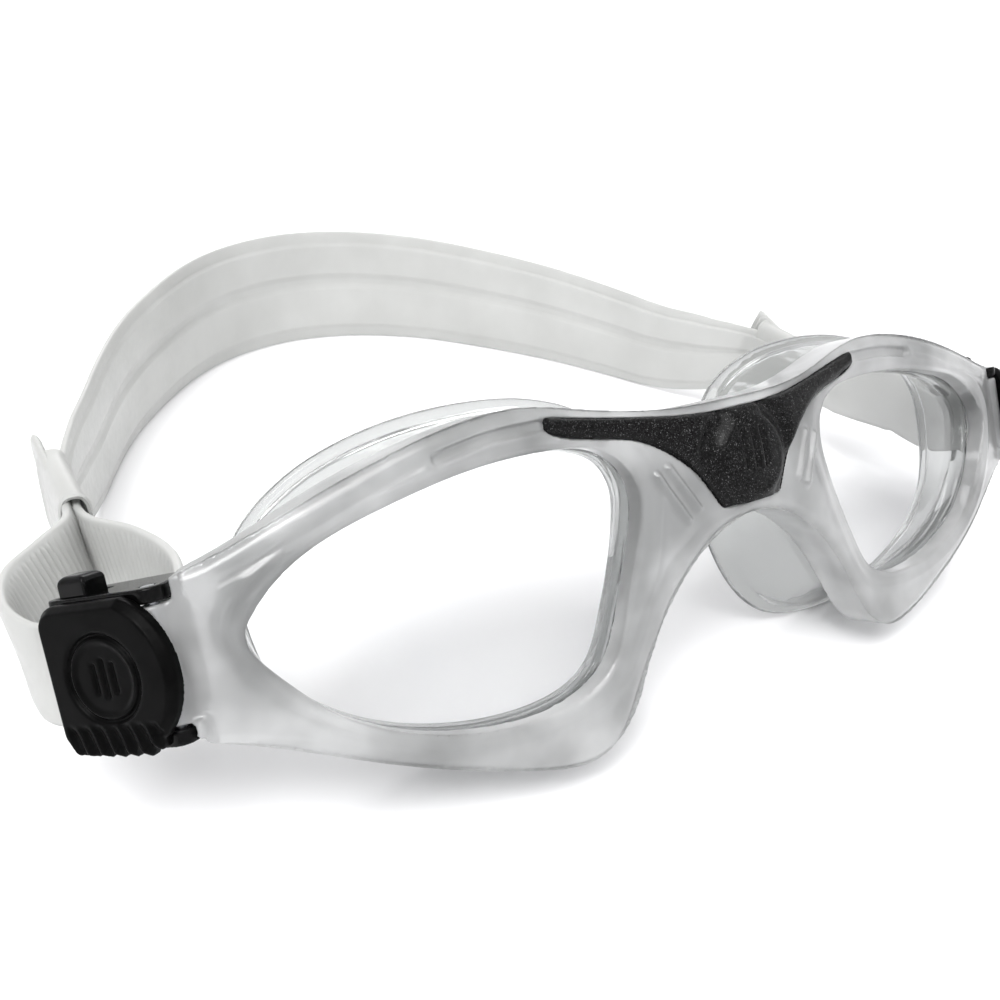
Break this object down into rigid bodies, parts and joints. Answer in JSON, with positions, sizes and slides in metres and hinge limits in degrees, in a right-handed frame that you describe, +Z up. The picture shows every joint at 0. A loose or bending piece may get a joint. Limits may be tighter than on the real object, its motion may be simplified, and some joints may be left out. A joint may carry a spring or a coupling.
{
  "type": "swim goggles",
  "caption": "Wide-lens swim goggles with a frosted one-piece frame, clear face skirts, swivelling quick-release buckles and a silicone head strap in a closed loop.",
  "frame": {"origin": "on the table plane at the bottom of the bounding box, centred in plan", "axes": "+Z up, -Y forward (the way the wearer looks), +X the wearer's left"},
  "size_m": [0.1792, 0.1752, 0.0455],
  "materials": {
    "frosted_frame": "frosted translucent, semi-gloss",
    "fleck_insert": "charcoal metallic fleck, satin",
    "clear_lens": "clear, glossy",
    "clear_skirt": "clear glossy silicone",
    "milky_strap": "milky translucent silicone, satin",
    "black_plastic": "black satin, glossy bevels",
    "black_gloss": "black gloss",
    "steel_pin": "stainless"
  },
  "bodies": {
    "front": {"front_frame": "frosted_frame", "bridge_insert": "fleck_insert", "lens_right": "clear_lens", "lens_left": "clear_lens", "skirt_right": "clear_skirt", "skirt_left": "clear_skirt", "strap_band": "milky_strap", "strap_keeper_right": "milky_strap", "strap_keeper_left": "milky_strap", "strap_run_right": "milky_strap", "strap_run_left": "milky_strap", "strap_tail_right": "milky_strap", "strap_tail_left": "milky_strap"},
    "buckle_right": {"buckle_base_right": "black_plastic", "buckle_cover_right": "black_plastic", "hinge_pin_right": "steel_pin", "strap_bar_right": "black_plastic", "pawl_pin_right": "steel_pin", "button_spring_right": "steel_pin"},
    "button_right": {"release_button_right": "black_gloss"},
    "latch_right": {"pawl_right": "black_plastic"},
    "buckle_left": {"buckle_base_left": "black_plastic", "buckle_cover_left": "black_plastic", "hinge_pin_left": "steel_pin", "strap_bar_left": "black_plastic", "pawl_pin_left": "steel_pin", "button_spring_left": "steel_pin"},
    "button_left": {"release_button_left": "black_gloss"},
    "latch_left": {"pawl_left": "black_plastic"}
  },
  "joints": [
    {"name": "buckle_swing_right", "type": "hinge", "parent": "front", "child": "buckle_right", "pos_m": [-0.0755, -0.068, 0.02482], "axis": [0, 0.454, 0.891], "range_deg": [-4, 14], "deforming": ["strap_run_right", "strap_tail_right"]},
    {"name": "button_press_right", "type": "slide", "parent": "buckle_right", "child": "button_right", "axis": [0, -0.454, -0.891], "range_m": [0, 0.0014], "stiffness_N_per_m": 1200, "deforming": ["button_spring_right"]},
    {"name": "latch_tilt_right", "type": "hinge", "parent": "buckle_right", "child": "latch_right", "pos_m": [-0.07789, -0.0613, 0.0214], "axis": [0, -0.454, -0.891], "range_deg": [0, 8]},
    {"name": "buckle_swing_left", "type": "hinge", "parent": "front", "child": "buckle_left", "pos_m": [0.0755, -0.068, 0.02482], "axis": [0, -0.454, -0.891], "range_deg": [-4, 14], "deforming": ["strap_run_left", "strap_tail_left"]},
    {"name": "button_press_left", "type": "slide", "parent": "buckle_left", "child": "button_left", "axis": [0, -0.454, -0.891], "range_m": [0, 0.0014], "stiffness_N_per_m": 1200, "deforming": ["button_spring_left"]},
    {"name": "latch_tilt_left", "type": "hinge", "parent": "buckle_left", "child": "latch_left", "pos_m": [0.07789, -0.0613, 0.0214], "axis": [0, 0.454, 0.891], "range_deg": [0, 8]}
  ],
  "couplings": [
    {"joint": "latch_tilt_right", "follows": "button_press_right", "rad_per_m": 99.72},
    {"joint": "latch_tilt_left", "follows": "button_press_left", "rad_per_m": 99.72}
  ]
}
